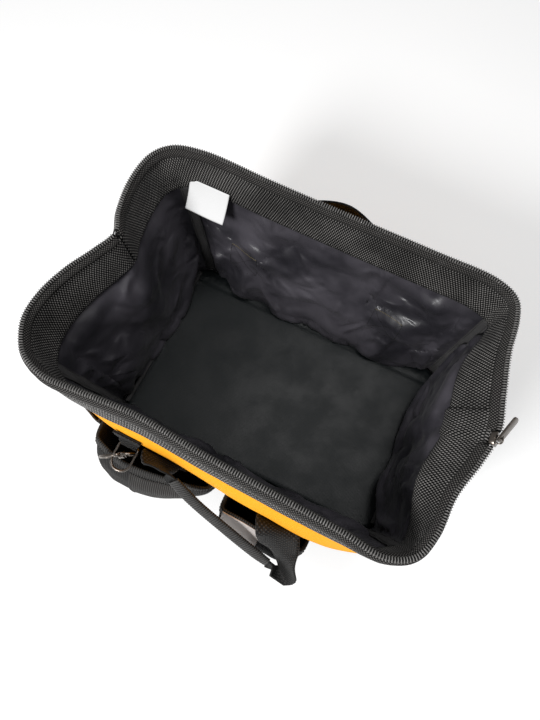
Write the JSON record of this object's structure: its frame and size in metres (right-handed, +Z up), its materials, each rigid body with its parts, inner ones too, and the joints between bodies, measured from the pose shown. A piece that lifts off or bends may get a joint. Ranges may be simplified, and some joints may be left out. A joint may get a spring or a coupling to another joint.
{
  "type": "tool bag",
  "caption": "Wide-mouth fabric tool bag standing open, with bellows front pockets, webbing carry handles, a zipped mouth and a snap hook on a ring.",
  "frame": {"origin": "middle of the underside of the base, on the surface that the bag stands on", "axes": "+X along the bag towards the end with the zip slider, +Y towards the back, +Z up"},
  "size_m": [0.4642, 0.3911, 0.2582],
  "materials": {
    "black_canvas": "matte heavy polyester canvas, plain weave",
    "orange_canvas": "matte heavy polyester canvas, plain weave",
    "grey_canvas": "matte heavy canvas, plain weave",
    "lining": "thin shiny nylon with soft creases",
    "pad_fabric": "fine matte weave over a stiff board",
    "webbing": "coarse woven webbing",
    "zip_tape": "fine woven zip tape",
    "zip_coil": "nylon coil teeth",
    "label_tape": "plain white woven label, bare",
    "grey_patch": "smooth light grey coated patch, bare",
    "gunmetal": "dark gunmetal plating"
  },
  "bodies": {
    "bag": {"base_panel": "black_canvas", "front_panel_lower": "black_canvas", "back_panel_lower": "black_canvas", "left_end_panel": "black_canvas", "right_end_panel": "black_canvas", "left_pocket": "black_canvas", "right_pocket": "black_canvas", "front_panel_upper": "orange_canvas", "back_panel_upper": "orange_canvas", "corner_pocket": "grey_canvas", "front_lining": "lining", "back_lining": "lining", "left_lining": "lining", "right_lining": "lining", "base_pad": "pad_fabric", "base_piping_left": "pad_fabric", "base_piping_right": "pad_fabric", "seam_binding_front_left": "webbing", "seam_binding_front_right": "webbing", "seam_binding_back_left": "webbing", "seam_binding_back_right": "webbing", "front_casing": "webbing", "back_casing": "webbing", "left_pocket_binding": "webbing", "left_pocket_band": "webbing", "right_pocket_binding": "webbing", "front_handle_left_leg": "webbing", "front_handle_grip": "webbing", "front_handle_right_leg": "webbing", "back_handle": "webbing", "ring_tab": "webbing", "front_zip_tape": "zip_tape", "back_zip_tape": "zip_tape", "front_zip_teeth": "zip_coil", "back_zip_teeth": "zip_coil", "label": "label_tape", "grey_patch": "grey_patch", "zip_slider": "gunmetal", "d_ring": "gunmetal", "hook_claw": "gunmetal"},
    "pull": {"zip_pull": "gunmetal"},
    "gate": {"hook_gate": "gunmetal"},
    "eye": {"hook_eye": "gunmetal"}
  },
  "joints": [
    {"name": "zip_pull_hinge", "type": "hinge", "parent": "bag", "child": "pull", "pos_m": [0.2128, -0.00293, 0.24939], "axis": [-0.6157, 0, 0.788], "range_deg": [-150, 10]},
    {"name": "hook_gate_hinge", "type": "hinge", "parent": "bag", "child": "gate", "pos_m": [-0.11463, -0.1701, 0.15358], "axis": [0.4695, -0.8829, 0], "range_deg": [-30, 0], "stiffness_Nm_per_rad": 0.004, "springref_deg": 20.05},
    {"name": "hook_swivel", "type": "hinge", "parent": "bag", "child": "eye", "pos_m": [-0.11457, -0.17007, 0.15985], "axis": [-0.7796, -0.4145, -0.4695], "continuous": true}
  ]
}
